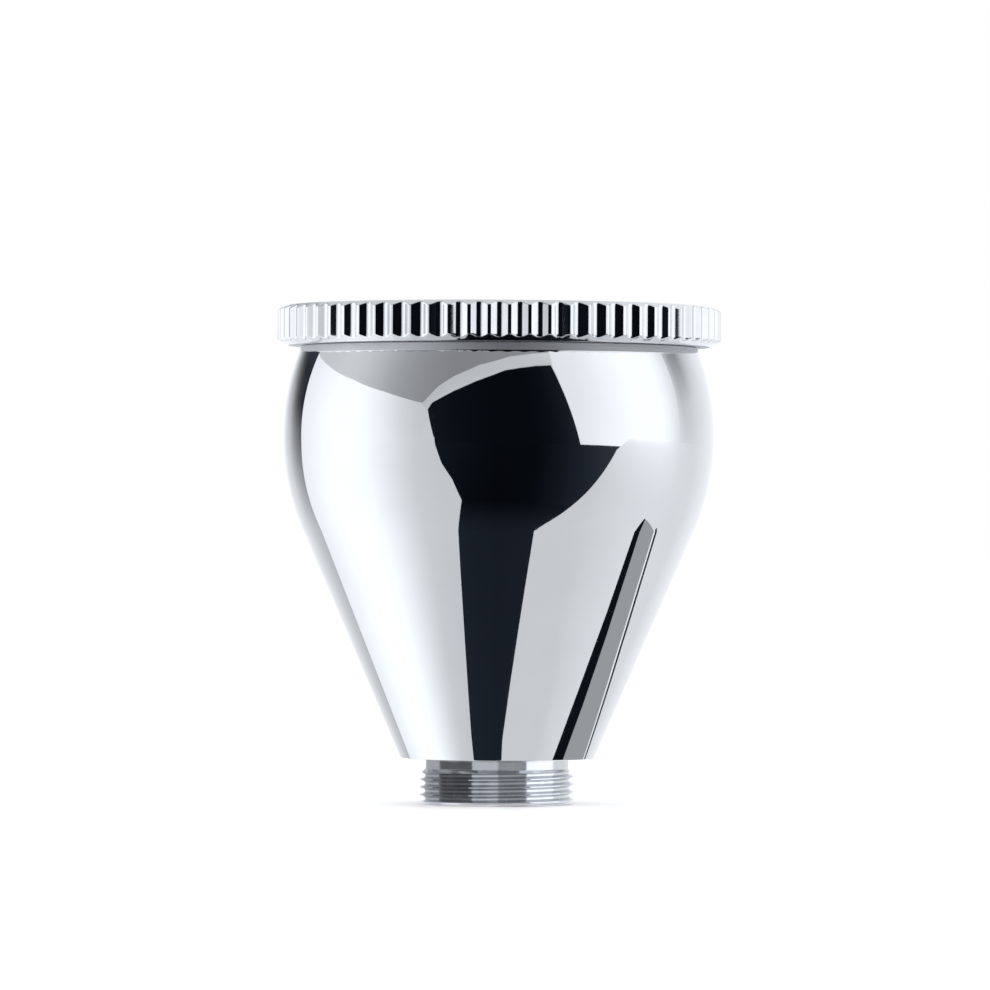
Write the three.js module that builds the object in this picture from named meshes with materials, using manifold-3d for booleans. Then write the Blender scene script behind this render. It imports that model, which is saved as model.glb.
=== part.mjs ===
// Detachable gravity cup of an airbrush: a bulged bowl on a short threaded stem, closed by a knurled lid
// with a rubber seal. Millimetres, +Z up. The origin is the centre of the stem's end face.

import * as THREE from 'three';
import { mergeVertices } from 'three/addons/utils/BufferGeometryUtils.js';
import Module from 'manifold-3d';

// Bowl
const bowlRadius = 14.0;          // at the widest part of the bulge
const bowlHeight = 26.75;         // seat shoulder to mouth
const mouthAboveBulge = 5.83;     // widest part to mouth
const bulgeArcRadius = 15.34;     // one arc runs from the mouth to the cone
const bowlWall = 0.8;
const shoulderWidth = 1.65;       // stem's relief to the edge of the bowl's base
const seatRecessDepth = 0.2;      // ring around the stem's root that leaves the seat outside the thread
const floorThickness = 1.0;       // seat to the stem's hole inside the bowl
const floorSlope = 30;            // degrees, drains the floor into the stem
const rimWidth = 1.1;             // flat lip around the mouth
const mouthLeadIn = 0.15;

// Threaded stem
const stemLength = 2.95;          // end face to seat shoulder
const threadRadius = 5.0;
const threadPitch = 0.5;
const threadAngle = 60;           // degrees between the flanks
const reliefStep = 0.04;          // thread's root to relief
const reliefLength = 0.65;        // plain length between the thread and the shoulder
const endChamfer = 0.2;
const spigotStep = 0.55;          // relief to the spigot inside the bowl's floor
const spigotWall = 0.6;           // spigot to bore
const spigotCountersink = 0.3;

// Lid
const lidThickness = 2.58;
const lidOverhang = 0.4;          // past the widest part of the bowl
const fluteCount = 70;
const fluteDepth = 0.25;
const landWidth = 0.22;           // left standing between two flutes
const rimChamferWidth = 0.5;      // both edges of the knurled rim
const rimChamferHeight = 0.3;
const plugLandAbove = 0.5;        // skirt between the lid's underside and the seal's groove
const plugLandBelow = 0.5;        // skirt between the seal's groove and its own end
const plugWall = 2.0;
const plugEndChamfer = 0.3;
const ventRadius = 0.8;

// Seal
const sealWidth = 0.94;           // across the ring's section, squeezed
const sealHeight = 1.16;

// Clearances
const plugClearance = 0.1;        // skirt to mouth bore, on the radius
const plugEndClearance = 0.2;     // skirt's end to the end of the mouth bore
const sealClearance = 0.03;       // seal to mouth bore and to its groove's floor
const sealSideClearance = 0.12;   // seal to each side of its groove
const brazeGap = 0.02;            // spigot to the hole in the floor, on the radius
const recessClearance = 0.1;      // thread's outside to the wall of the seat's recess

// Fineness
const roundSides = 60;
const threadSides = 36;
const bulgeSteps = 6;             // on each side of the widest part
const fluteSteps = 2;
const sealSteps = 8;
const beyond = 0.5;               // how far a cut or a joined solid runs past its neighbour

const degrees = Math.PI / 180;

// Heights and radii that follow from the sizes above
const sharpThreadDepth = threadPitch / 2 / Math.tan((threadAngle / 2) * degrees);
const threadCrestCut = sharpThreadDepth / 8;
const threadDepth = (sharpThreadDepth * 17) / 24;
const threadRootRadius = threadRadius - threadDepth;
const reliefRadius = threadRootRadius - reliefStep;
const spigotRadius = reliefRadius - spigotStep;
const stemBoreRadius = spigotRadius - spigotWall;
const spigotTop = stemLength + floorThickness;
const baseRadius = reliefRadius + shoulderWidth;
const recessRadius = threadRadius + recessClearance;
const recessTop = stemLength + seatRecessDepth;
const mouthHeight = stemLength + bowlHeight;
const bulgeHeight = mouthHeight - mouthAboveBulge;
const arcCentreRadius = bowlRadius - bulgeArcRadius;
const mouthRadius = arcCentreRadius + Math.sqrt(bulgeArcRadius ** 2 - mouthAboveBulge ** 2);
const mouthBoreRadius = mouthRadius - rimWidth;
const lidRadius = bowlRadius + lidOverhang;
const plugRadius = mouthBoreRadius - plugClearance;
const sealOuterRadius = mouthBoreRadius - sealClearance;
const grooveRadius = sealOuterRadius - sealWidth - sealClearance;
const grooveTop = mouthHeight - plugLandAbove;
const grooveBottom = grooveTop - sealHeight - 2 * sealSideClearance;
const plugEnd = grooveBottom - plugLandBelow;
const mouthBoreEnd = plugEnd - plugEndClearance;

const wasm = await Module();
wasm.setup();

// A closed three.js geometry as a solid: shared corners are merged and empty triangles dropped.
function solidFrom(geometry) {
  const bare = new THREE.BufferGeometry();
  bare.setAttribute('position', geometry.getAttribute('position'));
  if (geometry.index) {
    bare.setIndex(geometry.index);
  }
  const merged = mergeVertices(bare);
  const triangles = [];
  for (let i = 0; i < merged.index.count; i += 3) {
    const [a, b, c] = [0, 1, 2].map((corner) => merged.index.getX(i + corner));
    if (a !== b && b !== c && c !== a) {
      triangles.push(a, b, c);
    }
  }
  return new wasm.Manifold(new wasm.Mesh({
    numProp: 3,
    vertProperties: new Float32Array(merged.getAttribute('position').array),
    triVerts: new Uint32Array(triangles),
  }));
}

function meshFrom(name, solid, material) {
  const { vertProperties, triVerts } = solid.getMesh();
  const geometry = new THREE.BufferGeometry();
  geometry.setAttribute('position', new THREE.BufferAttribute(vertProperties, 3));
  geometry.setIndex(new THREE.BufferAttribute(triVerts, 1));
  geometry.computeVertexNormals();
  const mesh = new THREE.Mesh(geometry, material);
  mesh.name = name;
  return mesh;
}

// A profile of [radius, height] points turned about +Z. It runs up the outside and down the inside.
function turned(profile, sides) {
  const points = profile.map(([radius, height]) => new THREE.Vector2(radius, height));
  return solidFrom(new THREE.LatheGeometry(points, sides).rotateX(Math.PI / 2));
}

// Points of an arc in the profile's plane, both ends included.
function arcPoints(centreRadius, centreHeight, radius, from, to, steps) {
  const points = [];
  for (let i = 0; i <= steps; i += 1) {
    const angle = from + ((to - from) * i) / steps;
    points.push([centreRadius + radius * Math.cos(angle), centreHeight + radius * Math.sin(angle)]);
  }
  return points;
}

// Where two lines cross, each given by a point and its angle from the radial direction.
function crossing([radiusA, heightA], angleA, [radiusB, heightB], angleB) {
  const across = radiusB - radiusA;
  const up = heightB - heightA;
  const along = (across * Math.sin(angleB) - up * Math.cos(angleB)) / Math.sin(angleB - angleA);
  return [radiusA + along * Math.cos(angleA), heightA + along * Math.sin(angleA)];
}

// The cone's angle from the vertical, where the line from the base's edge just touches the bulge's arc.
function coneAngle() {
  const across = baseRadius - arcCentreRadius;
  const down = bulgeHeight - stemLength;
  return Math.atan2(down, across) - Math.acos(bulgeArcRadius / Math.hypot(down, across));
}

// Where a 45 degree undercut below the mouth's bore meets the inside of the bulge.
function undercutAngle(innerRadius) {
  const across = mouthBoreRadius - arcCentreRadius;
  const up = mouthBoreEnd - bulgeHeight;
  const toCorner = Math.hypot(across, up);
  const fromCorner = Math.atan2(up, across) + Math.PI / 4;
  return Math.asin((toCorner * Math.sin(fromCorner)) / innerRadius) - Math.PI / 4;
}

function makeBowl() {
  const cone = coneAngle();
  const innerArcRadius = bulgeArcRadius - bowlWall;
  const mouthAngle = Math.asin(mouthAboveBulge / bulgeArcRadius);
  const lowerOutside = arcPoints(arcCentreRadius, bulgeHeight, bulgeArcRadius, -cone, 0, bulgeSteps);
  const upperOutside = arcPoints(arcCentreRadius, bulgeHeight, bulgeArcRadius, 0, mouthAngle, bulgeSteps);
  const inside = arcPoints(arcCentreRadius, bulgeHeight, innerArcRadius,
    undercutAngle(innerArcRadius), -cone, bulgeSteps + bulgeSteps / 2);
  const holeEdge = [spigotRadius + brazeGap, spigotTop];
  const coneFoot = crossing(holeEdge, floorSlope * degrees, inside.at(-1), Math.PI / 2 - cone);
  return turned([
    [spigotRadius + brazeGap, recessTop],
    [recessRadius, recessTop],
    [recessRadius, stemLength],
    [baseRadius, stemLength],
    ...lowerOutside,
    ...upperOutside.slice(1),
    [mouthBoreRadius + mouthLeadIn, mouthHeight],
    [mouthBoreRadius, mouthHeight - mouthLeadIn],
    [mouthBoreRadius, mouthBoreEnd],
    ...inside,
    coneFoot,
    holeEdge,
    [spigotRadius + brazeGap, recessTop],
  ], roundSides);
}

// A screw with sharp crests. The columns of a turned profile climb one pitch in a turn, so the last column
// meets the first one tooth higher, and a fan from the axis closes the step at each end.
function makeScrew(bottom, top) {
  const toothShare = (threadDepth + threadCrestCut) / sharpThreadDepth;
  const rootFlat = threadPitch * (1 - toothShare);
  const tooth = [
    [threadRootRadius, 0],
    [threadRootRadius, rootFlat],
    [threadRadius + threadCrestCut, (threadPitch + rootFlat) / 2],
  ];
  const turns = Math.ceil((top - bottom) / threadPitch);
  const points = [new THREE.Vector2(0, bottom)];
  for (let turn = 0; turn < turns; turn += 1) {
    for (const [radius, height] of tooth) {
      points.push(new THREE.Vector2(radius, bottom + turn * threadPitch + height));
    }
  }
  points.push(new THREE.Vector2(threadRootRadius, bottom + turns * threadPitch));
  points.push(new THREE.Vector2(0, bottom + turns * threadPitch));

  const geometry = new THREE.LatheGeometry(points, threadSides);
  const position = geometry.getAttribute('position');
  const rows = points.length;
  for (let i = 0; i < position.count; i += 1) {
    const column = Math.floor(i / rows);
    const onAxis = i % rows === 0 || i % rows === rows - 1;
    if (!onAxis) {
      position.setY(i, position.getY(i) + (threadPitch * column) / threadSides);
    }
  }
  const triangles = [...geometry.index.array];
  const lastColumn = threadSides * rows;
  for (let step = 0; step < tooth.length; step += 1) {
    const low = 1 + step;
    const high = lastColumn + rows - 2 - step;
    triangles.push(0, low, low + 1);
    triangles.push(rows - 1, high, high - 1);
  }
  geometry.setIndex(triangles);
  return solidFrom(geometry.rotateX(Math.PI / 2));
}

function makeThreadedStem() {
  const threadTop = stemLength - reliefLength;
  const runOut = threadRadius - reliefRadius;
  const blank = turned([
    [0, 0],
    [threadRadius - endChamfer, 0],
    [threadRadius, endChamfer],
    [threadRadius, threadTop - runOut],
    [reliefRadius, threadTop],
    [reliefRadius, recessTop],
    [spigotRadius, recessTop],
    [spigotRadius, spigotTop],
    [0, spigotTop],
  ], threadSides);
  const bore = turned([
    [0, -beyond],
    [stemBoreRadius, -beyond],
    [stemBoreRadius, spigotTop - spigotCountersink],
    [stemBoreRadius + spigotCountersink + beyond, spigotTop + beyond],
    [0, spigotTop + beyond],
  ], threadSides);
  const screw = makeScrew(-2 * threadPitch, spigotTop + threadPitch);
  return blank.intersect(screw).subtract(bore);
}

// The knurled rim's outline: equal hollow flutes with a narrow land between each two.
function fluteOutline() {
  const spacing = (2 * Math.PI) / fluteCount;
  const halfFlute = spacing / 2 - landWidth / 2 / lidRadius;
  const halfChord = lidRadius * Math.sin(halfFlute);
  const hollow = lidRadius * Math.cos(halfFlute) - (lidRadius - fluteDepth);
  const arcRadius = (halfChord ** 2 + hollow ** 2) / (2 * hollow);
  const centreDistance = lidRadius - fluteDepth + arcRadius;
  const halfArc = Math.asin(halfChord / arcRadius);
  const outline = new THREE.Shape();
  for (let i = 0; i < fluteCount; i += 1) {
    const direction = i * spacing - Math.PI / 2;
    const inward = direction + Math.PI;
    outline.absarc(centreDistance * Math.cos(direction), centreDistance * Math.sin(direction), arcRadius,
      inward + halfArc, inward - halfArc, true);
  }
  return outline;
}

function makeLid() {
  const underside = mouthHeight;
  const top = mouthHeight + lidThickness;
  const flutes = new THREE.ExtrudeGeometry(fluteOutline(), {
    depth: lidThickness,
    bevelEnabled: false,
    curveSegments: fluteSteps,
  }).translate(0, 0, underside);
  const slope = rimChamferHeight / rimChamferWidth;
  const chamfers = turned([
    [0, underside],
    [lidRadius - rimChamferWidth, underside],
    [lidRadius + beyond, underside + (rimChamferWidth + beyond) * slope],
    [lidRadius + beyond, top - (rimChamferWidth + beyond) * slope],
    [lidRadius - rimChamferWidth, top],
    [0, top],
  ], fluteCount);
  const plugInner = plugRadius - plugWall;
  const plug = turned([
    [plugInner, plugEnd],
    [plugRadius - plugEndChamfer, plugEnd],
    [plugRadius, plugEnd + plugEndChamfer],
    [plugRadius, grooveBottom],
    [grooveRadius, grooveBottom],
    [grooveRadius, grooveTop],
    [plugRadius, grooveTop],
    [plugRadius, underside + beyond],
    [plugInner, underside + beyond],
    [plugInner, plugEnd],
  ], roundSides);
  const vent = new THREE.CylinderGeometry(ventRadius, ventRadius, lidThickness + 2 * beyond, threadSides / 2);
  vent.rotateX(Math.PI / 2).translate(0, 0, underside + lidThickness / 2);
  return solidFrom(flutes).intersect(chamfers).add(plug).subtract(solidFrom(vent));
}

function makeSeal() {
  const centreRadius = sealOuterRadius - sealWidth / 2;
  const centreHeight = (grooveBottom + grooveTop) / 2;
  const section = [];
  for (let i = 0; i <= sealSteps; i += 1) {
    const angle = (2 * Math.PI * i) / sealSteps;
    section.push([
      centreRadius + (sealWidth / 2) * Math.cos(angle),
      centreHeight + (sealHeight / 2) * Math.sin(angle),
    ]);
  }
  return turned(section, roundSides);
}

const chrome = new THREE.MeshStandardMaterial({ color: 0xd8dadd, roughness: 0.06, metalness: 1 });
const turnedMetal = new THREE.MeshStandardMaterial({ color: 0xa9adb2, roughness: 0.32, metalness: 1 });
const knurledMetal = new THREE.MeshStandardMaterial({ color: 0xced1d4, roughness: 0.12, metalness: 1 });
const rubber = new THREE.MeshStandardMaterial({ color: 0x17181a, roughness: 0.7, metalness: 0 });

const cup = new THREE.Group();
cup.add(meshFrom('bowl', makeBowl(), chrome));
cup.add(meshFrom('threaded_stem', makeThreadedStem(), turnedMetal));
cup.add(meshFrom('lid', makeLid(), knurledMetal));
cup.add(meshFrom('lid_seal', makeSeal(), rubber));

export default cup;
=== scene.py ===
# Detachable gravity cup of an airbrush: plated bowl, threaded stem, knurled lid and its rubber seal
import math
import bpy
from mathutils import Matrix, Vector


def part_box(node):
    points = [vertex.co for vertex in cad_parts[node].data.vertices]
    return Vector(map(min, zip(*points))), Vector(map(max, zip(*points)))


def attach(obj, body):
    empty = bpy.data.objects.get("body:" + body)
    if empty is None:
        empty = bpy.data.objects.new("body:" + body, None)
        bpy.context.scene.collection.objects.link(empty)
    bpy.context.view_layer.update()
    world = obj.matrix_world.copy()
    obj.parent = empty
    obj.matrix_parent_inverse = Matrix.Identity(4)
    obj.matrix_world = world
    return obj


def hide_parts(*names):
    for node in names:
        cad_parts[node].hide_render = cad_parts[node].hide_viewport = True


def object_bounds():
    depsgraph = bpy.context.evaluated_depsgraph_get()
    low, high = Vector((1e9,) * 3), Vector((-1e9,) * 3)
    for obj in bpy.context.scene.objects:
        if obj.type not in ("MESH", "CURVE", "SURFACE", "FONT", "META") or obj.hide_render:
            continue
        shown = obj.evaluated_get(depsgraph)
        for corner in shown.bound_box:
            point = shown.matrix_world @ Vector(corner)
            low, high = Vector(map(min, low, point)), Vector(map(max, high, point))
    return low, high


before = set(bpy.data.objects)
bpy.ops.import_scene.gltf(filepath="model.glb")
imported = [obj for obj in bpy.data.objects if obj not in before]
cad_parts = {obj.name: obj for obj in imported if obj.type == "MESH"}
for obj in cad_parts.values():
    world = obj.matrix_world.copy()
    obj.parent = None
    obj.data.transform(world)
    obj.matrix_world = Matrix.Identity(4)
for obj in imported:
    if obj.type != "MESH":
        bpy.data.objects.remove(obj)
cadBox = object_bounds()
fullTurn = 2 * math.pi
startSize = 0.001  # of a primitive whose points are then placed one by one
samePlace = 1e-6
mergeWithin = 1e-7
bowlLow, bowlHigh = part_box("bowl")
stemLow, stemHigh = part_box("threaded_stem")
lidLow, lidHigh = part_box("lid")
sealLow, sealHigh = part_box("lid_seal")
print("frame loaded")


# Drawing a turned piece: half of its section is drawn first in the XZ plane, then it goes round Z once

def startOutline(name, radius, height):
    bpy.ops.object.select_all(action="DESELECT")
    bpy.ops.mesh.primitive_plane_add(size=startSize, location=(0, 0, 0))
    piece = bpy.context.object
    piece.name = name
    piece.data.name = name
    bpy.ops.object.mode_set(mode="EDIT")
    bpy.ops.mesh.select_mode(type="VERT")
    bpy.ops.mesh.select_all(action="SELECT")
    bpy.ops.mesh.merge(type="CENTER")
    bpy.ops.transform.translate(value=(radius, 0, height))
    return piece, [radius, height]


def drawTo(tip, radius, height, margin=0.0, parts=1):
    across = radius - tip[0]
    up = height - tip[1]
    stops = [(i + 1) / parts for i in range(parts)]
    if margin:  # a support point near each end keeps flat faces flat when they are shaded
        near = margin / math.hypot(across, up)
        stops = [near] + [stop for stop in stops if near < stop < 1 - near] + [1 - near, 1]
    reached = 0
    for stop in stops:
        step = (across * (stop - reached), 0, up * (stop - reached))
        bpy.ops.mesh.extrude_region_move(TRANSFORM_OT_translate={"value": step})
        reached = stop
    tip[:] = [radius, height]


def drawArc(tip, centreRadius, centreHeight, turn, steps):
    bpy.ops.mesh.spin(steps=steps, angle=turn, center=(centreRadius, 0, centreHeight), axis=(0, 1, 0))
    across = tip[0] - centreRadius
    up = tip[1] - centreHeight
    tip[0] = centreRadius + across * math.cos(turn) - up * math.sin(turn)
    tip[1] = centreHeight + across * math.sin(turn) + up * math.cos(turn)


def closeOutline():
    bpy.ops.mesh.select_all(action="SELECT")
    bpy.ops.mesh.remove_doubles(threshold=mergeWithin)


def roundCorners(piece, corners, amount, segments=4):
    bpy.ops.mesh.select_all(action="DESELECT")
    bpy.ops.object.mode_set(mode="OBJECT")
    for vertex in piece.data.vertices:
        if any((vertex.co - Vector((radius, 0, height))).length < samePlace
               for radius, height in corners):
            vertex.select = True
    bpy.ops.object.mode_set(mode="EDIT")
    bpy.ops.mesh.bevel(offset=amount, offset_type="OFFSET", segments=segments, affect="VERTICES")


def turnOutline(steps):
    bpy.ops.mesh.select_all(action="SELECT")
    bpy.ops.mesh.spin(steps=steps, angle=fullTurn, center=(0, 0, 0), axis=(0, 0, 1))
    bpy.ops.mesh.select_all(action="SELECT")
    bpy.ops.mesh.remove_doubles(threshold=mergeWithin)
    bpy.ops.mesh.normals_make_consistent(inside=False)
    bpy.ops.object.mode_set(mode="OBJECT")


def cutAway(piece, cutter):
    bpy.ops.object.select_all(action="DESELECT")
    bpy.context.view_layer.objects.active = piece
    cut = piece.modifiers.new("cut", "BOOLEAN")
    cut.operation = "DIFFERENCE"
    cut.solver = "EXACT"
    cut.object = cutter
    bpy.ops.object.modifier_apply(modifier=cut.name)
    bpy.data.objects.remove(cutter)


def shadeByAngle(piece, angle):
    bpy.ops.object.select_all(action="DESELECT")
    piece.select_set(True)
    bpy.context.view_layer.objects.active = piece
    bpy.ops.object.shade_smooth_by_angle(angle=math.radians(angle))


# Materials

def addNode(tree, kind, inputs=None, **settings):
    made = tree.nodes.new(kind)
    for key, value in settings.items():
        setattr(made, key, value)
    for key, value in (inputs or {}).items():
        if isinstance(value, bpy.types.NodeSocket):
            tree.links.new(value, made.inputs[key])
        else:
            made.inputs[key].default_value = value
    return made


def startMaterial(name):
    material = bpy.data.materials.new(name)
    material.use_nodes = True
    return material, material.node_tree, material.node_tree.nodes["Principled BSDF"]


def addMath(tree, operation, a, b):
    return addNode(tree, "ShaderNodeMath", {0: a, 1: b}, operation=operation).outputs["Value"]


def addNoise(tree, place, scale, detail, distortion=0.0):
    return addNode(tree, "ShaderNodeTexNoise", {
        "Vector": place, "Scale": scale, "Detail": detail, "Distortion": distortion}).outputs["Fac"]


def addRange(tree, value, low, high, toLow, toHigh):
    return addNode(tree, "ShaderNodeMapRange", {
        "Value": value, "From Min": low, "From Max": high,
        "To Min": toLow, "To Max": toHigh}).outputs["Result"]


# Lathe marks are slow round the piece and quick along its section, so one coordinate is height plus radius
def lathePlace(tree, place, slow, quick):
    split = addNode(tree, "ShaderNodeSeparateXYZ", {"Vector": place}).outputs
    flat = addNode(tree, "ShaderNodeCombineXYZ", {"X": split["X"], "Y": split["Y"]}).outputs["Vector"]
    radius = addNode(tree, "ShaderNodeVectorMath", {0: flat}, operation="LENGTH").outputs["Value"]
    along = addMath(tree, "MULTIPLY", addMath(tree, "ADD", radius, split["Z"]), quick)
    return addNode(tree, "ShaderNodeCombineXYZ", {
        "X": addMath(tree, "MULTIPLY", split["X"], slow),
        "Y": addMath(tree, "MULTIPLY", split["Y"], slow), "Z": along}).outputs["Vector"]


# detail of each noise, and the part of its range that is used
metalNoise = {"ringDetail": 3.0, "smudgeDetail": 5.0, "smudgeWarp": 0.7, "speckDetail": 2.0,
              "waveDetail": 1.0, "tint": (0.3, 0.7), "smudge": (0.45, 0.75), "ring": (0.3, 0.7),
              "speck": (0.68, 0.8)}


def metalMaterial(name, look):
    noise = metalNoise
    material, tree, shader = startMaterial(name)
    place = addNode(tree, "ShaderNodeTexCoord").outputs["Object"]
    turned = lathePlace(tree, place, look["ringSlow"], look["ringQuick"])
    rings = addNoise(tree, turned, 1.0, noise["ringDetail"])
    smudges = addNoise(tree, place, look["smudgeScale"], noise["smudgeDetail"], noise["smudgeWarp"])
    specks = addNoise(tree, place, look["speckScale"], noise["speckDetail"])

    tint = addRange(tree, smudges, *noise["tint"], 0.0, 1.0)
    colour = addNode(tree, "ShaderNodeMix", {
        "Factor": tint, 6: look["colourDark"] + (1,), 7: look["colourLight"] + (1,)}, data_type="RGBA")
    tree.links.new(colour.outputs[2], shader.inputs["Base Color"])

    smudged = look["polished"] + look["smudged"]
    smudgeGloss = addRange(tree, smudges, *noise["smudge"], look["polished"], smudged)
    ringGloss = addRange(tree, rings, *noise["ring"], 0.0, look["ringDull"])
    speckGloss = addRange(tree, specks, *noise["speck"], 0.0, look["speckDull"])
    gloss = addMath(tree, "ADD", addMath(tree, "ADD", smudgeGloss, ringGloss), speckGloss)
    tree.links.new(gloss, shader.inputs["Roughness"])

    waves = addNoise(tree, place, look["waveScale"], noise["waveDetail"])
    height = addMath(tree, "ADD", addMath(tree, "MULTIPLY", rings, look["ringHeight"]),
                     addMath(tree, "MULTIPLY", waves, look["waveHeight"]))
    bump = addNode(tree, "ShaderNodeBump", {"Strength": 1.0, "Distance": 1.0, "Height": height})
    tree.links.new(bump.outputs["Normal"], shader.inputs["Normal"])
    shader.inputs["Metallic"].default_value = 1.0
    return material


def rubberMaterial(name, look):
    material, tree, shader = startMaterial(name)
    place = addNode(tree, "ShaderNodeTexCoord").outputs["Object"]
    grain = addNoise(tree, place, look["grainScale"], look["grainDetail"])
    bloom = addNoise(tree, place, look["bloomScale"], look["bloomDetail"], look["bloomWarp"])
    colour = addNode(tree, "ShaderNodeMix", {
        "Factor": addRange(tree, bloom, *look["bloom"], 0.0, 1.0),
        6: look["colourDark"] + (1,), 7: look["colourLight"] + (1,)}, data_type="RGBA")
    tree.links.new(colour.outputs[2], shader.inputs["Base Color"])
    roughness = addRange(tree, grain, *look["grain"], look["smooth"], look["dull"])
    tree.links.new(roughness, shader.inputs["Roughness"])
    bump = addNode(tree, "ShaderNodeBump", {
        "Strength": 1.0, "Distance": look["grainHeight"], "Height": grain})
    tree.links.new(bump.outputs["Normal"], shader.inputs["Normal"])
    return material


mirrorPlating = {"colourDark": (0.785, 0.795, 0.805), "colourLight": (0.81, 0.82, 0.83), "polished": 0.012,
                 "smudged": 0.02, "ringDull": 0.012, "speckDull": 0.08, "ringSlow": 60, "ringQuick": 2600,
                 "ringHeight": 1.2e-7, "waveScale": 160, "waveHeight": 3e-6, "smudgeScale": 210,
                 "speckScale": 5200}
spunInside = {"colourDark": (0.70, 0.715, 0.73), "colourLight": (0.79, 0.80, 0.81), "polished": 0.10,
              "smudged": 0.08, "ringDull": 0.08, "speckDull": 0.08, "ringSlow": 40, "ringQuick": 5200,
              "ringHeight": 1.0e-6, "waveScale": 160, "waveHeight": 4e-6, "smudgeScale": 260,
              "speckScale": 4200}
turnedSteel = {"colourDark": (0.56, 0.575, 0.60), "colourLight": (0.70, 0.71, 0.73), "polished": 0.12,
               "smudged": 0.08, "ringDull": 0.10, "speckDull": 0.10, "ringSlow": 90, "ringQuick": 7000,
               "ringHeight": 1.4e-6, "waveScale": 400, "waveHeight": 2e-6, "smudgeScale": 520,
               "speckScale": 6000}
knurlPlating = {"colourDark": (0.76, 0.77, 0.785), "colourLight": (0.84, 0.85, 0.86), "polished": 0.06,
                "smudged": 0.04, "ringDull": 0.02, "speckDull": 0.10, "ringSlow": 60, "ringQuick": 3200,
                "ringHeight": 2.0e-7, "waveScale": 240, "waveHeight": 3e-6, "smudgeScale": 320,
                "speckScale": 5200}
turnedUnderside = {"colourDark": (0.73, 0.74, 0.755), "colourLight": (0.79, 0.80, 0.81), "polished": 0.55,
                   "smudged": 0.08, "ringDull": 0.12, "speckDull": 0.08, "ringSlow": 60, "ringQuick": 5200,
                   "ringHeight": 8e-7, "waveScale": 240, "waveHeight": 2e-6, "smudgeScale": 320,
                   "speckScale": 5200}
blackRubber = {"colourDark": (0.018, 0.018, 0.019), "colourLight": (0.035, 0.035, 0.036), "smooth": 0.45,
               "dull": 0.65, "grainScale": 9000, "grainDetail": 4.0, "grain": (0.3, 0.7),
               "grainHeight": 4e-6, "bloomScale": 700, "bloomDetail": 3.0, "bloomWarp": 0.4,
               "bloom": (0.4, 0.7)}


# Bowl

bowlShape = {"baseRadius": 0.006303, "aboveBulge": 0.00583, "arcRadius": 0.01534, "wall": 0.0008,
             "rimWidth": 0.0011, "boreDepth": 0.0026, "holeRadius": 0.004123, "recessRadius": 0.0051,
             "recessDepth": 0.0002, "floorThickness": 0.001, "floorSlope": 30, "edge": 0.00012,
             "lip": 0.00014, "fine": 0.00006, "crisp": 0.00004, "beside": 0.00006, "inwards": 1e-7,
             "coneParts": 24, "arcSteps": 16, "innerSteps": 26, "floorParts": 20, "holeParts": 6,
             "lipSteps": 6, "around": 256, "smooth": 35}


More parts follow.
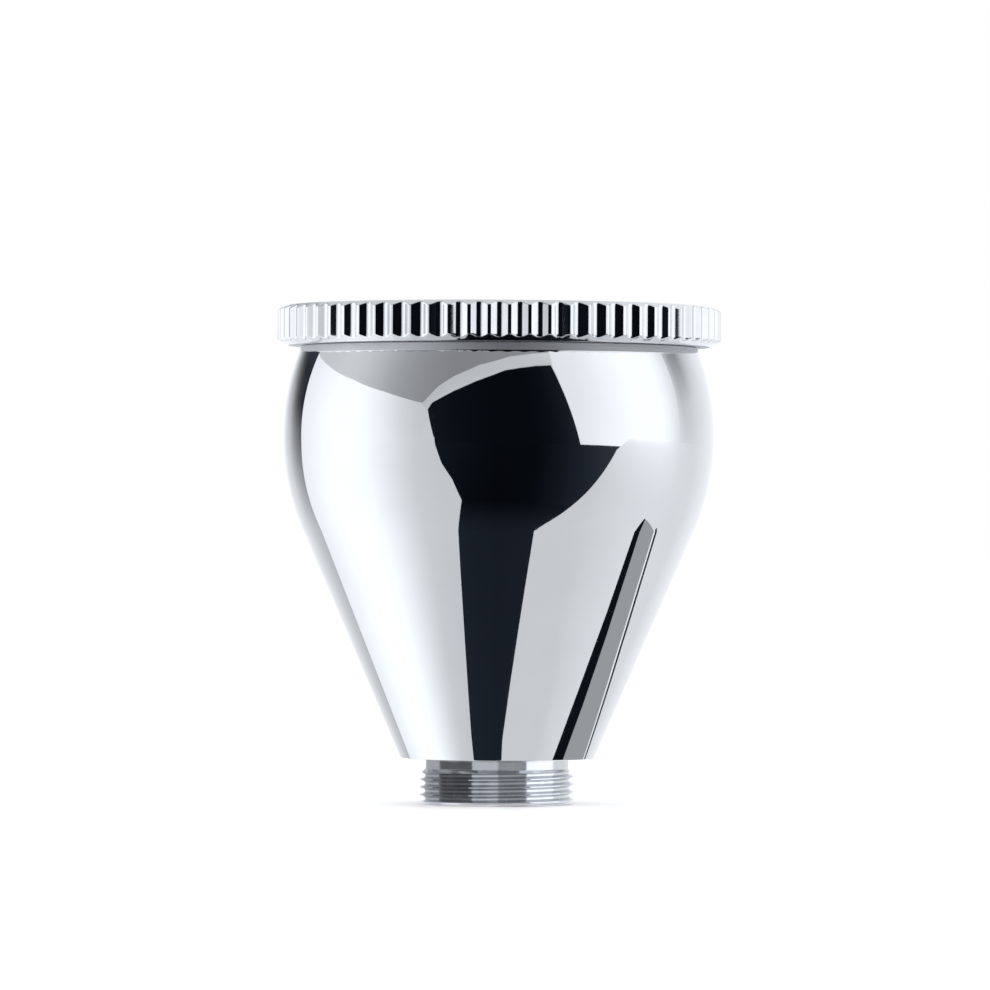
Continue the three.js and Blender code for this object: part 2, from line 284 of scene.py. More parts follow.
def makeBowl():
    shape = bowlShape
    seat = bowlLow.z
    mouth = bowlHigh.z
    bulge = mouth - shape["aboveBulge"]
    centre = bowlHigh.x - shape["arcRadius"]
    outer = shape["arcRadius"]
    inner = outer - shape["wall"]
    across = shape["baseRadius"] - centre
    down = bulge - seat
    cone = math.atan2(down, across) - math.acos(outer / math.hypot(down, across))
    mouthAngle = math.asin(shape["aboveBulge"] / outer)
    mouthRadius = centre + outer * math.cos(mouthAngle)
    bore = mouthRadius - shape["rimWidth"]
    boreEnd = mouth - shape["boreDepth"]
    recessTop = seat + shape["recessDepth"]
    holeTop = seat + shape["floorThickness"]

    # where the 45 degree undercut under the bore meets the inside of the bulge
    toCorner = math.hypot(bore - centre, boreEnd - bulge)
    fromCorner = math.atan2(boreEnd - bulge, bore - centre) + math.pi / 4
    undercut = math.asin(toCorner * math.sin(fromCorner) / inner) - math.pi / 4
    # where the floor's slope meets the straight inside of the cone
    slope = math.radians(shape["floorSlope"])
    coneTop = (centre + inner * math.cos(cone), bulge - inner * math.sin(cone))
    rise = math.pi / 2 - cone
    reach = ((coneTop[0] - shape["holeRadius"]) * math.sin(rise)
             - (coneTop[1] - holeTop) * math.cos(rise)) / math.sin(rise - slope)
    foot = (shape["holeRadius"] + reach * math.cos(slope), holeTop + reach * math.sin(slope))

    margin = shape["edge"] + shape["beside"]
    lipMargin = shape["lip"] + shape["beside"]
    piece, tip = startOutline("bowl_shell", shape["holeRadius"], recessTop)
    drawTo(tip, shape["recessRadius"], recessTop, shape["fine"])
    drawTo(tip, shape["recessRadius"], seat, shape["fine"])
    drawTo(tip, shape["baseRadius"], seat, shape["fine"])
    drawTo(tip, centre + outer * math.cos(cone), bulge - outer * math.sin(cone),
           shape["fine"], shape["coneParts"])
    drawArc(tip, centre, bulge, cone, shape["arcSteps"])
    drawArc(tip, centre, bulge, mouthAngle, shape["arcSteps"])
    drawTo(tip, bore, mouth, lipMargin)
    drawTo(tip, bore, boreEnd, margin)
    drawTo(tip, centre + inner * math.cos(undercut), bulge + inner * math.sin(undercut), margin)
    drawArc(tip, centre, bulge, -undercut - cone, shape["innerSteps"])
    drawTo(tip, foot[0], foot[1], margin, shape["floorParts"])
    drawTo(tip, shape["holeRadius"], holeTop, margin, shape["holeParts"])
    drawTo(tip, shape["holeRadius"], recessTop, margin)
    closeOutline()
    roundCorners(piece, [(mouthRadius, mouth), (bore, mouth)], shape["lip"], shape["lipSteps"])
    roundCorners(piece, [(shape["baseRadius"], seat)], shape["crisp"])
    roundCorners(piece, [(bore, boreEnd), (shape["holeRadius"], holeTop), foot], shape["edge"])
    turnOutline(shape["around"])

    piece.data.materials.append(metalMaterial("bowl_mirror_plating", mirrorPlating))
    piece.data.materials.append(metalMaterial("bowl_spun_inside", spunInside))
    for face in piece.data.polygons:  # what faces the axis below the mouth is the bowl's inside
        outward = face.normal.x * face.center.x + face.normal.y * face.center.y
        if outward < -shape["inwards"] and seat < face.center.z < mouth - shape["lip"]:
            face.material_index = 1
    shadeByAngle(piece, shape["smooth"])
    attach(piece, "cup")
    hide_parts("bowl")
    print("bowl made:", len(piece.data.polygons), "faces")


# Threaded stem

stemShape = {"reliefRadius": 0.004653, "reliefLength": 0.00065, "threadRadius": 0.005,
             "spigotRadius": 0.004103, "boreRadius": 0.003503, "seat": 0.00295, "recessDepth": 0.0002,
             "endChamfer": 0.0002, "countersink": 0.0003, "boreChamfer": 0.00015, "edge": 0.00005,
             "beside": 0.00003, "threadParts": 4, "boreParts": 6, "around": 192, "smooth": 28}
threadShape = {"pitch": 0.0005, "rootRadius": 0.004693, "rootFlat": 0.000125, "crestFlat": 0.0000625,
               "outside": 0.00525, "turnsBelow": 2, "turnsAbove": 1, "steps": 96}


def makeStemBlank():
    shape = stemShape
    seat = shape["seat"]
    top = stemHigh.z
    threadTop = seat - shape["reliefLength"]
    runOut = shape["threadRadius"] - shape["reliefRadius"]
    recessTop = seat + shape["recessDepth"]
    fine = shape["edge"] + shape["beside"]
    piece, tip = startOutline("threaded_stem_turned", shape["boreRadius"] + shape["boreChamfer"], stemLow.z)
    drawTo(tip, shape["threadRadius"] - shape["endChamfer"], stemLow.z, fine)
    drawTo(tip, shape["threadRadius"], stemLow.z + shape["endChamfer"], fine)
    drawTo(tip, shape["threadRadius"], threadTop - runOut, fine, shape["threadParts"])
    drawTo(tip, shape["reliefRadius"], threadTop, fine)
    drawTo(tip, shape["reliefRadius"], recessTop, fine)
    drawTo(tip, shape["spigotRadius"], recessTop, fine)
    drawTo(tip, shape["spigotRadius"], top, fine)
    drawTo(tip, shape["boreRadius"] + shape["countersink"], top, fine)
    drawTo(tip, shape["boreRadius"], top - shape["countersink"], fine)
    drawTo(tip, shape["boreRadius"], stemLow.z + shape["boreChamfer"], fine, shape["boreParts"])
    drawTo(tip, shape["boreRadius"] + shape["boreChamfer"], stemLow.z, fine)
    closeOutline()
    roundCorners(piece, [(shape["reliefRadius"], threadTop)], shape["edge"])
    turnOutline(shape["around"])
    return piece


# the groove between two turns of the thread, as a bar that winds up past both ends
def makeThreadGroove():
    shape = threadShape
    widest = shape["pitch"] - shape["crestFlat"]
    flank = (widest - shape["rootFlat"]) / 2
    bottom = stemLow.z - shape["turnsBelow"] * shape["pitch"]
    toRelief = stemShape["seat"] - stemShape["reliefLength"] - bottom
    turns = math.ceil(toRelief / shape["pitch"]) + shape["turnsAbove"]
    groove, tip = startOutline("thread_groove", shape["rootRadius"], bottom)
    drawTo(tip, shape["rootRadius"], bottom + shape["rootFlat"])
    drawTo(tip, stemShape["threadRadius"], tip[1] + flank)
    drawTo(tip, shape["outside"], tip[1])
    drawTo(tip, shape["outside"], tip[1] - widest)
    drawTo(tip, stemShape["threadRadius"], tip[1])
    drawTo(tip, shape["rootRadius"], bottom)
    closeOutline()
    bpy.ops.object.mode_set(mode="OBJECT")
    helix = groove.modifiers.new("helix", "SCREW")
    helix.axis = "Z"
    helix.screw_offset = shape["pitch"]
    helix.iterations = turns
    helix.steps = shape["steps"]
    helix.render_steps = shape["steps"]
    bpy.ops.object.modifier_apply(modifier=helix.name)
    bpy.ops.object.mode_set(mode="EDIT")
    bpy.ops.mesh.select_all(action="SELECT")
    bpy.ops.mesh.fill_holes(sides=0)
    bpy.ops.mesh.select_all(action="SELECT")
    bpy.ops.mesh.normals_make_consistent(inside=False)
    bpy.ops.object.mode_set(mode="OBJECT")
    return groove


def makeStem():
    piece = makeStemBlank()
    cutAway(piece, makeThreadGroove())
    piece.data.materials.append(metalMaterial("stem_turned_steel", turnedSteel))
    shadeByAngle(piece, stemShape["smooth"])
    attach(piece, "cup")
    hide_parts("threaded_stem")
    print("stem made:", len(piece.data.polygons), "faces")


# Knurled lid

lidShape = {"chamferWidth": 0.0005, "chamferHeight": 0.0003, "underWidth": 0.0007, "underHeight": 0.0004,
            "plugRadius": 0.01165, "plugWall": 0.002, "landAbove": 0.0005, "grooveHeight": 0.0014,
            "grooveRadius": 0.01075, "plugChamfer": 0.0003, "ventRadius": 0.0008, "ventChamfer": 0.00015,
            "margin": 0.00009, "ventMargin": 0.00003, "ventWallMargin": 0.00005, "level": 0.00001,
            "topParts": 16, "underParts": 10, "around": 280, "softSegments": 2, "softAngle": 24,
            "smooth": 50, "weight": 100}
knurlShape = {"count": 70, "land": 0.00022, "flank": 36, "nose": 0.0004, "noseSteps": 6,
              "beyond": 0.00015, "edge": 0.00003, "row": 0.00006, "overrun": 0.001}


def makeLidBlank():
    shape = lidShape
    rim = lidHigh.x
    top = lidHigh.z
    under = bowlHigh.z
    plugEnd = lidLow.z
    plugInner = shape["plugRadius"] - shape["plugWall"]
    grooveTop = under - shape["landAbove"]
    grooveLow = grooveTop - shape["grooveHeight"]
    margin = shape["margin"]
    piece, tip = startOutline("lid_knurled", shape["ventRadius"] + shape["ventChamfer"], top)
    drawTo(tip, rim - shape["chamferWidth"], top, margin, shape["topParts"])
    drawTo(tip, rim, top - shape["chamferHeight"], margin)
    drawTo(tip, rim, under + shape["underHeight"], margin)
    drawTo(tip, rim - shape["underWidth"], under, margin)
    drawTo(tip, shape["plugRadius"], under, margin)
    drawTo(tip, shape["plugRadius"], grooveTop, margin)
    drawTo(tip, shape["grooveRadius"], grooveTop, margin)
    drawTo(tip, shape["grooveRadius"], grooveLow, margin)
    drawTo(tip, shape["plugRadius"], grooveLow, margin)
    drawTo(tip, shape["plugRadius"], plugEnd + shape["plugChamfer"], margin)
    drawTo(tip, shape["plugRadius"] - shape["plugChamfer"], plugEnd, margin)
    drawTo(tip, plugInner, plugEnd, margin)
    drawTo(tip, plugInner, under, margin)
    drawTo(tip, shape["ventRadius"] + shape["ventChamfer"], under, margin, shape["underParts"])
    drawTo(tip, shape["ventRadius"], under + shape["ventChamfer"], shape["ventMargin"])
    drawTo(tip, shape["ventRadius"], top - shape["ventChamfer"], shape["ventWallMargin"])
    drawTo(tip, shape["ventRadius"] + shape["ventChamfer"], top, shape["ventMargin"])
    closeOutline()
    turnOutline(shape["around"])
    return piece


# every second flute's cutter, so that neighbouring cutters stay apart: a wedge with a rounded nose
def makeFluteCutters(first):
    shape = knurlShape
    spacing = fullTurn / shape["count"]
    halfFlute = spacing / 2 - shape["land"] / 2 / lidHigh.x
    halfChord = lidHigh.x * math.sin(halfFlute)
    chordAt = lidHigh.x * math.cos(halfFlute)
    flank = math.radians(shape["flank"])
    noseAt = chordAt - halfChord * math.tan(flank)
    wing = halfChord + shape["beyond"] / math.tan(flank)
    lower = bowlHigh.z - shape["overrun"]
    bpy.ops.object.select_all(action="DESELECT")
    bpy.ops.mesh.primitive_circle_add(vertices=3, radius=startSize, fill_type="NGON")
    cutters = bpy.context.object
    for vertex, (out, aside) in zip(cutters.data.vertices, (
            (noseAt, 0), (chordAt + shape["beyond"], wing), (chordAt + shape["beyond"], -wing))):
        vertex.co = (out, aside, lower)
    bpy.ops.object.mode_set(mode="EDIT")
    bpy.ops.mesh.select_mode(type="EDGE")
    bpy.ops.mesh.select_all(action="SELECT")
    rows = (bowlHigh.z + lidShape["underHeight"] + shape["row"],
            lidHigh.z - lidShape["chamferHeight"] - shape["row"], lidHigh.z + shape["overrun"])
    for row in rows:  # rows near the ends keep the long walls straight when they are shaded
        bpy.ops.mesh.extrude_region_move(TRANSFORM_OT_translate={"value": (0, 0, row - lower)})
        lower = row
    bpy.ops.mesh.select_all(action="DESELECT")
    bpy.ops.object.mode_set(mode="OBJECT")
    for edge in cutters.data.edges:
        edge.select = all(abs(cutters.data.vertices[i].co.x - noseAt) < samePlace for i in edge.vertices)
    bpy.ops.object.mode_set(mode="EDIT")
    bpy.ops.mesh.bevel(offset=shape["nose"] * math.tan(flank), offset_type="OFFSET",
                       segments=shape["noseSteps"])
    bpy.ops.mesh.select_mode(type="VERT")
    bpy.ops.mesh.select_all(action="SELECT")
    bpy.ops.transform.rotate(value=math.pi / 2 - first * spacing, orient_axis="Z", center_override=(0, 0, 0))
    copies = shape["count"] // 2 - 1
    bpy.ops.mesh.spin(steps=copies, angle=2 * spacing * copies, dupli=True,
                      center=(0, 0, 0), axis=(0, 0, 1))
    bpy.ops.mesh.select_all(action="SELECT")
    bpy.ops.mesh.normals_make_consistent(inside=False)
    bpy.ops.object.mode_set(mode="OBJECT")
    return cutters


def makeLid():
    piece = makeLidBlank()
    for first in (0, 1):
        cutAway(piece, makeFluteCutters(first))
    bpy.context.view_layer.objects.active = piece
    soften = piece.modifiers.new("soften", "BEVEL")
    soften.width = knurlShape["edge"]
    soften.segments = lidShape["softSegments"]
    soften.limit_method = "ANGLE"
    soften.angle_limit = math.radians(lidShape["softAngle"])
    bpy.ops.object.modifier_apply(modifier=soften.name)
    piece.data.materials.append(metalMaterial("lid_knurl_plating", knurlPlating))
    piece.data.materials.append(metalMaterial("lid_turned_underside", turnedUnderside))
    inwards = lidHigh.x - lidShape["underWidth"]
    for face in piece.data.polygons:
        flat = math.hypot(face.center.x, face.center.y)
        if face.center.z < bowlHigh.z + lidShape["level"] and flat < inwards:
            face.material_index = 1
    shadeByAngle(piece, lidShape["smooth"])
    weigh = piece.modifiers.new("weigh", "WEIGHTED_NORMAL")  # big faces keep their normals past the bevels
    weigh.mode = "FACE_AREA"
    weigh.weight = lidShape["weight"]
    weigh.keep_sharp = True
    bpy.ops.object.modifier_apply(modifier=weigh.name)
    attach(piece, "lid")
    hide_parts("lid")
    print("lid made:", len(piece.data.polygons), "faces")


# Rubber seal

sealShape = {"around": 224, "section": 36, "halfWidth": 0.00047, "smooth": 40}


def makeSeal():
    middle = (sealHigh.z + sealLow.z) / 2
    halfHeight = (sealHigh.z - sealLow.z) / 2
    halfWidth = sealShape["halfWidth"]
    ring = sealHigh.x - halfWidth
    bpy.ops.object.select_all(action="DESELECT")
    bpy.ops.mesh.primitive_torus_add(
        major_radius=ring, minor_radius=halfWidth, major_segments=sealShape["around"],
        minor_segments=sealShape["section"], location=(0, 0, middle))
    piece = bpy.context.object
    piece.name = "lid_seal_ring"
    piece.data.name = "lid_seal_ring"
    bpy.ops.object.transform_apply(location=True, rotation=True, scale=True)
    bpy.ops.object.mode_set(mode="EDIT")
    bpy.ops.mesh.select_all(action="SELECT")
    bpy.ops.transform.resize(value=(1, 1, halfHeight / halfWidth), center_override=(0, 0, middle))
    bpy.ops.mesh.normals_make_consistent(inside=False)
    bpy.ops.object.mode_set(mode="OBJECT")
    piece.data.materials.append(rubberMaterial("seal_black_rubber", blackRubber))
    shadeByAngle(piece, sealShape["smooth"])
    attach(piece, "seal")
    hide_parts("lid_seal")
    print("seal made:", len(piece.data.polygons), "faces")


# Studio: a pale floor, a soft lamp, and light panels that only the plating sees

studio = {"panelDistance": 3.0, "skyParts": 4, "surround": 200, "plating": 0.8, "white": 255,
          "displayPower": 2.2, "panelColour": (0.955, 0.985, 1.03), "darkColour": (0.66, 1.0, 1.6),
          "darkBelow": 0.06, "tableDrop": 0.03, "tableLift": 0.001, "tableNear": 120, "tableFar": 3000,
          "plateParts": 3, "tableParts": 48, "stemPanels": 0.0055, "stemGap": 0.00008, "stemParts": 6,
          "backdrop": 1.0, "ambient": 1.6, "lampPower": 1.2, "lampSize": 0.8,
          "lampPlace": (-0.5, -0.4, 0.9)}
floorLook = {"size": 8.0, "drop": 0.00002, "colour": (0.90, 0.90, 0.905), "grainScale": 40,
             "grainDetail": 3.0, "grain": (0.3, 0.7), "roughness": (0.55, 0.7)}

# Shades are display values that the plating should mirror. Profiles give them by azimuth from -Y to +X.
leftShades = [(-131, 238), (-115, 250), (-100, 260), (-83, 260), (-73, 252), (-66, 241), (-60, 230),
              (-52, 214), (-45, 203), (-33, 197), (0, 194)]
leftTop = [(-131, 18), (-115.6, 19.2), (-91.8, 19.7), (-65.4, 17.7), (-42.5, 14.5)]
ceilingShades = [(-131, 196), (-110, 200), (-97, 204), (-85, 197), (-73, 181), (-62, 160), (-51, 147),
                 (-41, 138), (-30, 130), (0, 131), (13, 137), (33, 142)]
rightShades = [(32, 226), (42, 229), (48, 232), (54, 238), (60, 244), (67, 250), (80, 258), (97, 258),
               (104, 247), (113, 222)]
tableNearShades = [(0, 200), (50, 201), (60, 208), (75, 214), (90, 219), (105, 219), (118, 216),
                   (130, 214), (145, 226), (180, 236)]
tableFarShades = [(60, 222), (68, 234), (80, 252), (97, 257), (104, 246), (113, 224), (124, 215),
                  (137, 222), (156, 232), (180, 240)]


def panelGlow(shade):
    return (shade / studio["white"]) ** studio["displayPower"] / studio["plating"]


def panelMaterial():
    material, tree, shader = startMaterial("studio_panel_light")
    glow = addNode(tree, "ShaderNodeAttribute", attribute_name="glow").outputs["Fac"]
    colour = addNode(tree, "ShaderNodeMix", {
        "Factor": addRange(tree, glow, 0.0, studio["darkBelow"], 0.0, 1.0),
        6: studio["darkColour"] + (1,), 7: studio["panelColour"] + (1,)}, data_type="RGBA")
    light = addNode(tree, "ShaderNodeEmission", {"Color": colour.outputs[2], "Strength": glow})
    tree.links.new(light.outputs["Emission"], tree.nodes["Material Output"].inputs["Surface"])
    return material


def hideFromAllButPlating(panel):
    panel.visible_camera = False
    panel.visible_diffuse = False
    panel.visible_shadow = False
    panel.visible_transmission = False
    panel.visible_volume_scatter = False


# the value of a profile at a place between its points
def readProfile(profile, place):
    for (start, low), (end, high) in zip(profile, profile[1:]):
        if place <= end:
            share = max(0, (place - start) / (end - start))
            return low + (high - low) * share
    return profile[-1][1]


# a point of a line of tuples, for a share of its way from 0 to 1
def readLine(line, share):
    spans = len(line) - 1
    span = min(int(share * spans + samePlace), spans - 1)
    rest = share * spans - span
    return [a + (b - a) * rest for a, b in zip(line[span], line[span + 1])]


def startPanel(name, columns, rows):
    bpy.ops.object.select_all(action="DESELECT")
    bpy.ops.mesh.primitive_grid_add(x_subdivisions=columns, y_subdivisions=rows, size=2)
    panel = bpy.context.object
    panel.name = name
    panel.data.materials.append(panelLight)
    panel.data.attributes.new("glow", "FLOAT", "POINT")
    return panel


# a panel of the far surround between two lines of azimuth, elevation and shade
def addSky(name, lower, upper, nearer=0.0):
    panel = startPanel(name, studio["skyParts"] * (len(lower) - 1), studio["skyParts"])
    distance = studio["panelDistance"] - nearer
    for vertex in panel.data.vertices:
        low = readLine(lower, (vertex.co.x + 1) / 2)
        high = readLine(upper, (vertex.co.x + 1) / 2)
        azimuth, elevation, shade = readLine([low, high], (vertex.co.y + 1) / 2)
        azimuth = math.radians(azimuth)
        elevation = math.radians(elevation)
        vertex.co = (distance * math.sin(azimuth) * math.cos(elevation),
                     -distance * math.cos(azimuth) * math.cos(elevation),
                     bowlHigh.z / 2 + distance * math.sin(elevation))
        panel.data.attributes["glow"].data[vertex.index].value = panelGlow(shade)
    hideFromAllButPlating(panel)


# a plate of the mirrored table between two edges that run outwards, given from above in millimetres
def addTable(name, firstEdge, lastEdge, shadeAt, above=0.0, across=1):
    panel = startPanel(name, across, studio["plateParts"] * (len(firstEdge) - 1))
    for vertex in panel.data.vertices:
        ends = [readLine(edge, (vertex.co.y + 1) / 2) for edge in (firstEdge, lastEdge)]
        polar = [(math.degrees(math.atan2(x, -y)), math.hypot(x, y)) for x, y in ends]
        azimuth, radius = readLine(polar, (vertex.co.x + 1) / 2)
        vertex.co = (radius / 1000 * math.sin(math.radians(azimuth)),
                     -radius / 1000 * math.cos(math.radians(azimuth)), above - studio["tableDrop"])
        panel.data.attributes["glow"].data[vertex.index].value = panelGlow(shadeAt(azimuth, radius))
    hideFromAllButPlating(panel)


# a narrow curved panel that only the stem mirrors
def addStemPanel(name, start, end, shade):
    panel = startPanel(name, studio["stemParts"], 1)
    for vertex in panel.data.vertices:
        azimuth = math.radians(start + (end - start) * (vertex.co.x + 1) / 2)
        vertex.co = (studio["stemPanels"] * math.sin(azimuth), -studio["stemPanels"] * math.cos(azimuth),
                     (stemShape["seat"] - studio["stemGap"]) * (vertex.co.y + 1) / 2)
        panel.data.attributes["glow"].data[vertex.index].value = panelGlow(shade)
    hideFromAllButPlating(panel)


def leftTableShade(azimuth, radius):
    return readProfile(leftShades, azimuth)


# the right side of the table gets lighter outwards
def rightTableShade(azimuth, radius):
    near = studio["tableNear"]
    outwards = min(max(math.log(radius / near) / math.log(studio["tableFar"] / near), 0), 1)
    return ((1 - outwards) * readProfile(tableNearShades, azimuth)
            + outwards * readProfile(tableFarShades, azimuth))


def spoke(azimuth, radii):
    angle = math.radians(azimuth)
    return [(radius * math.sin(angle), -radius * math.cos(angle)) for radius in radii]


def makeFloor():
    bpy.ops.object.select_all(action="DESELECT")
    bpy.ops.mesh.primitive_plane_add(size=floorLook["size"],
                                     location=(0, 0, cadBox[0].z - floorLook["drop"]))
    floor = bpy.context.object
    floor.name = "studio_floor"
    floor.visible_glossy = False
    material, tree, shader = startMaterial("studio_floor_paint")
    place = addNode(tree, "ShaderNodeTexCoord").outputs["Object"]
    grain = addNoise(tree, place, floorLook["grainScale"], floorLook["grainDetail"])
    roughness = addRange(tree, grain, *floorLook["grain"], *floorLook["roughness"])
    tree.links.new(roughness, shader.inputs["Roughness"])
    shader.inputs["Base Color"].default_value = floorLook["colour"] + (1,)
    floor.data.materials.append(material)


def makeWorld():
    world = bpy.data.worlds.new("studio_world")
    bpy.context.scene.world = world
    world.use_nodes = True
    tree = world.node_tree
    tree.nodes.clear()
    ray = addNode(tree, "ShaderNodeLightPath").outputs
    mirrored = addNode(tree, "ShaderNodeBackground", {"Strength": panelGlow(studio["surround"])})
    backdrop = addNode(tree, "ShaderNodeBackground", {"Strength": studio["backdrop"]})
    ambient = addNode(tree, "ShaderNodeBackground", {"Strength": studio["ambient"]})
    for background in (mirrored, backdrop, ambient):
        background.inputs["Color"].default_value = (1, 1, 1, 1)
    rest = addNode(tree, "ShaderNodeMixShader", {0: ray["Is Camera Ray"]})
    tree.links.new(ambient.outputs[0], rest.inputs[1])
    tree.links.new(backdrop.outputs[0], rest.inputs[2])
    whole = addNode(tree, "ShaderNodeMixShader", {0: ray["Is Glossy Ray"]})
    tree.links.new(rest.outputs[0], whole.inputs[1])
    tree.links.new(mirrored.outputs[0], whole.inputs[2])
    out = addNode(tree, "ShaderNodeOutputWorld")
    tree.links.new(whole.outputs[0], out.inputs["Surface"])


def makeStudio():
    # the dark room in front of the cup, with a light strip over it
    roomTop = [(-38.6, 11.6, 30), (-36.5, 14.8, 26), (-25.1, 20.7, 22), (-12.7, 26.0, 20), (3.7, 31.5, 18),
               (12.9, 32.6, 18), (22.4, 33.2, 22), (31.4, 33.0, 30)]
    stripTop = [(-42.5, 14.3, 184), (-40.9, 15.4, 184), (-34.3, 22.5, 184), (-26.3, 27.7, 184),
                (-11.6, 34.0, 185), (6.9, 38.3, 188), (19.9, 39.3, 196), (31.9, 39.2, 206)]
    addSky("dark_room", [(-34.1, -2.5, 27), (-30, -3.8, 26), (-22, -3.8, 23), (-10, -3.8, 20), (5, -3.8, 18),
                         (18, -3.8, 18), (31, -3.8, 24), (44, -3.8, 38)], roomTop)
    addSky("dark_room_low", [(-50, -32, 30), (-15, -32, 18), (0, -32, 15), (20, -32, 18), (85, -32, 64)],
           [(-40, -1, 30), (-15, -1, 23), (0, -1, 18), (20, -1, 17), (78, -1, 64)], nearer=-0.1)
    addSky("dark_room_floor", [(-70, -90, 84), (-15, -90, 84), (0, -90, 84), (20, -90, 84), (95, -90, 84)],
           [(-50, -32, 30), (-15, -32, 18), (0, -32, 15), (20, -32, 18), (85, -32, 50)], nearer=-0.1)
    addSky("room_strip", [(azimuth, elevation, 190) for azimuth, elevation, _ in roomTop], stripTop)
    # white panel on the left, greyer next to the dark room, and the ceiling over it
    columns = [-131, -122, -115, -100, -90, -83, -73, -66, -60, -52, -45, -42.5]
    top = [(azimuth, readProfile(leftTop, azimuth)) for azimuth in columns]
    addSky("left_panel", [(azimuth, -2, readProfile(leftShades, azimuth)) for azimuth in columns],
           [(azimuth, elevation, readProfile(leftShades, azimuth) - 5) for azimuth, elevation in top])
    addSky("left_panel_end", [(-42.5, -2, 200), (-31, -2, 203)], [(-42.5, 14.5, 196), (-35, 14.1, 196)],
           nearer=-0.05)
    addSky("ceiling_left", [(azimuth, elevation, readProfile(ceilingShades, azimuth))
                            for azimuth, elevation in top],
           [(azimuth, 60, readProfile(ceilingShades, azimuth)) for azimuth in columns])
    addSky("ceiling_middle", [(azimuth, elevation, readProfile(ceilingShades, azimuth))
                              for azimuth, elevation, _ in stripTop],
           [(azimuth, 60, readProfile(ceilingShades, azimuth)) for azimuth, _, _ in stripTop])
    addSky("ceiling_top", [(-131, 60, 190), (-70, 60, 165), (-20, 60, 140), (40, 60, 160), (113, 60, 200)],
           [(-131, 90, 190), (-70, 90, 190), (-20, 90, 190), (40, 90, 190), (113, 90, 190)])
    addSky("ceiling_back", [(113, 60, 205), (180, 45, 205), (229, 60, 205)],
           [(113, 90, 205), (180, 90, 205), (229, 90, 205)])
    # the grey band where the left side turns away
    bandTurns = (-131, -140, -150, -165, -180)
    bandRows = [(-60, (196, 204, 212, 228, 240)), (-18, (168, 194, 209, 228, 240)),
                (-6, (132, 166, 206, 230, 243)), (2, (86, 130, 188, 228, 245)),
                (7, (38, 72, 150, 215, 240)), (13, (48, 48, 72, 165, 225)), (22, (62, 66, 90, 160, 220)),
                (32, (180, 184, 190, 205, 222)), (60, (205, 205, 205, 205, 205))]
    for (low, lowShades), (high, highShades) in zip(bandRows, bandRows[1:]):
        addSky("left_band", [(turn, low, shade) for turn, shade in zip(bandTurns[::-1], lowShades[::-1])],
               [(turn, high, shade) for turn, shade in zip(bandTurns[::-1], highShades[::-1])])
    # white panel on the right, then grey further round
    turns = (44, 50, 58, 66, 80, 97, 104, 113)
    highTurns = (32.4, 42, 52, 64, 80, 97, 104, 113)
    addSky("right_panel", [(turn, -3.8, readProfile(rightShades, turn)) for turn in turns],
           [(turn, 31.6, readProfile(rightShades, turn)) for turn in highTurns])
    addSky("right_panel_high", [(turn, 31.6, readProfile(rightShades, turn)) for turn in highTurns],
           [(turn, 60, readProfile(rightShades, turn)) for turn in highTurns])
    farTurns = (113, 118, 125, 134, 148, 180)
    farRows = [(-4, (222, 218, 213, 221, 229, 240)), (8, (212, 195, 201, 213, 225, 242)),
               (21, (190, 150, 134, 181, 223, 236)), (33, (205, 200, 200, 205, 222, 232)),
               (60, (205, 205, 205, 205, 205, 205))]
    for (low, lowShades), (high, highShades) in zip(farRows, farRows[1:]):
        addSky("far_right", [(turn, low, shade) for turn, shade in zip(farTurns, lowShades)],
               [(turn, high, shade) for turn, shade in zip(farTurns, highShades)])
    # the table under the cup, with a dark gap towards the room
    leftEdge = [(-10, -15), (-20, -34), (-25, -54), (-33, -89), (-61, -133), (-118, -204),
                (-400, -600), (-1600, -2350)]
    addTable("table_left", spoke(-131, [math.hypot(*point) for point in leftEdge]), leftEdge,
             leftTableShade, across=studio["tableParts"])
    rightEdge = [(0, -20), (4, -37), (23, -55), (91, -79), (524, -242), (2870, -870)]
    addTable("table_right", rightEdge, spoke(179, [math.hypot(*point) for point in rightEdge]),
             rightTableShade, across=studio["tableParts"])
    # things lying on the right side of the table: a slot, a grey bar and its two thin edges
    slotNear = [(36, -14.6), (57, -6.5), (71, -1.5), (87, 2), (103, 7)]
    barNear = [(44, -2.6), (61, 5), (72, 7.5), (87, 8), (104, 9)]
    barFar = [(64, 54), (71, 47), (79, 39), (88, 34), (98, 30)]
    edgeFar = [(65, 59), (72.5, 51), (81, 42), (90, 36.5), (100, 32)]
    lineFar = [(66, 66), (74, 57), (83, 47), (92, 40.5), (103, 35)]
    lift = studio["tableLift"]
    addTable("table_slot", slotNear, barNear, lambda azimuth, radius: 24, above=lift)
    addTable("table_bar", barNear, barFar, lambda azimuth, radius: 150, above=lift)
    addTable("table_bar_edge", barFar, edgeFar, lambda azimuth, radius: 235, above=lift)
    addTable("table_bar_line", edgeFar, lineFar, lambda azimuth, radius: 50, above=lift)
    for name, start, end, shade in (("stem_far_left", -105, -63, 172), ("stem_left", -63, -23.3, 92),
                                    ("stem_middle_left", -23.3, 1, 198), ("stem_middle_right", 1, 28, 150),
                                    ("stem_right", 28, 61, 285), ("stem_far_right", 61, 108, 232)):
        addStemPanel(name, start, end, shade)
    print("studio made")


def addLamp():
    bpy.ops.object.light_add(type="AREA", location=studio["lampPlace"])
    lamp = bpy.context.object
    lamp.name = "soft_lamp"
    lamp.data.size = studio["lampSize"]
    lamp.data.energy = studio["lampPower"]
    lamp.visible_glossy = False
    aim = Vector((0, 0, bowlHigh.z / 2)) - lamp.location
    lamp.rotation_euler = aim.to_track_quat("-Z", "Y").to_euler()


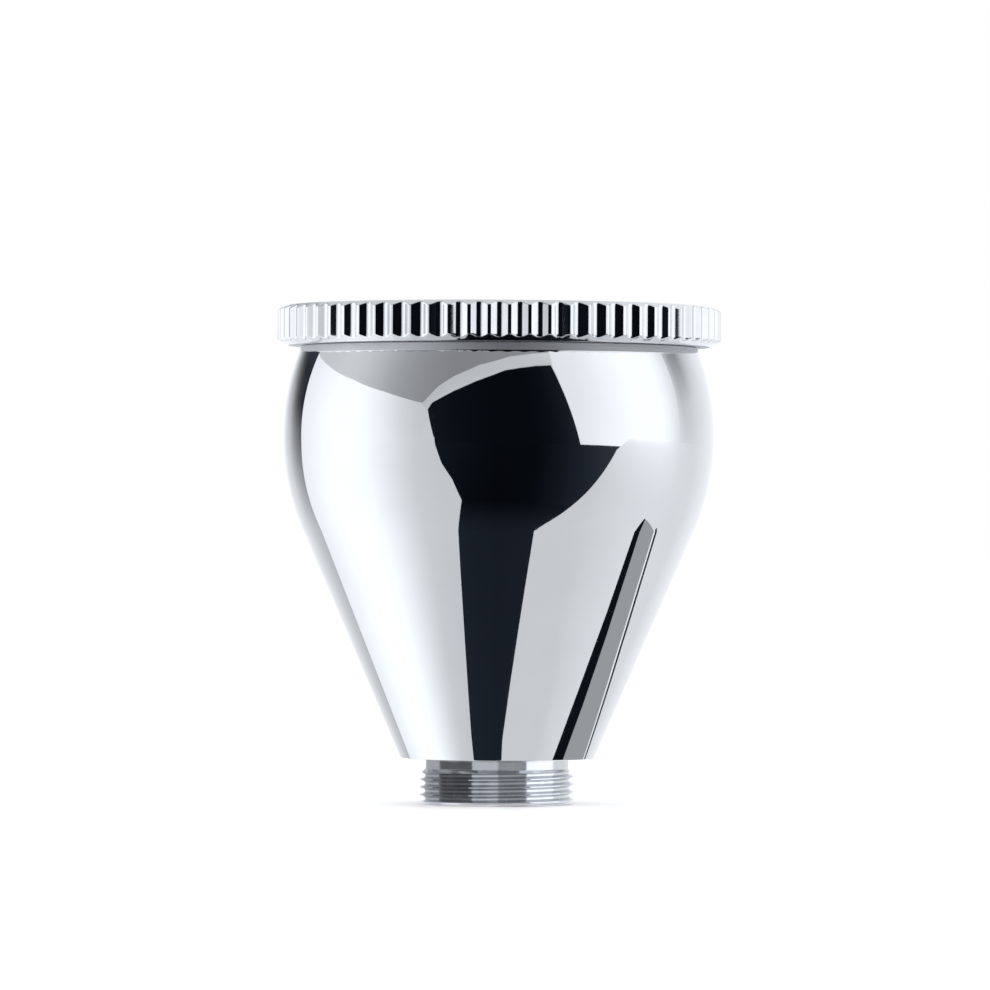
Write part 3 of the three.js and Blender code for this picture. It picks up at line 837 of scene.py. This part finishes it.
cameraPlace = {"aside": -0.00022, "distance": 0.45, "height": 0.017, "aimHeight": 0.02005,
               "lens": 251.7, "sensor": 36.0, "clipStart": 0.01, "roll": 0.3}


def addCamera():
    place = Vector((cameraPlace["aside"], -cameraPlace["distance"], cameraPlace["height"]))
    aim = Vector((cameraPlace["aside"], 0, cameraPlace["aimHeight"])) - place
    camera = bpy.data.objects.new("camera", bpy.data.cameras.new("camera"))
    bpy.context.scene.collection.objects.link(camera)
    camera.data.sensor_width = cameraPlace["sensor"]
    camera.data.lens = cameraPlace["lens"]
    camera.data.clip_start = cameraPlace["clipStart"]
    turn = aim.to_track_quat("-Z", "Y").to_matrix().to_4x4()
    roll = Matrix.Rotation(math.radians(cameraPlace["roll"]), 4, "Z")
    camera.matrix_world = Matrix.Translation(place) @ turn @ roll
    bpy.context.scene.camera = camera


panelLight = panelMaterial()
addCamera()
makeBowl()
makeStem()
makeLid()
makeSeal()
makeFloor()
makeWorld()
makeStudio()
addLamp()
bpy.context.scene.view_settings.view_transform = "Standard"
print("scene made")
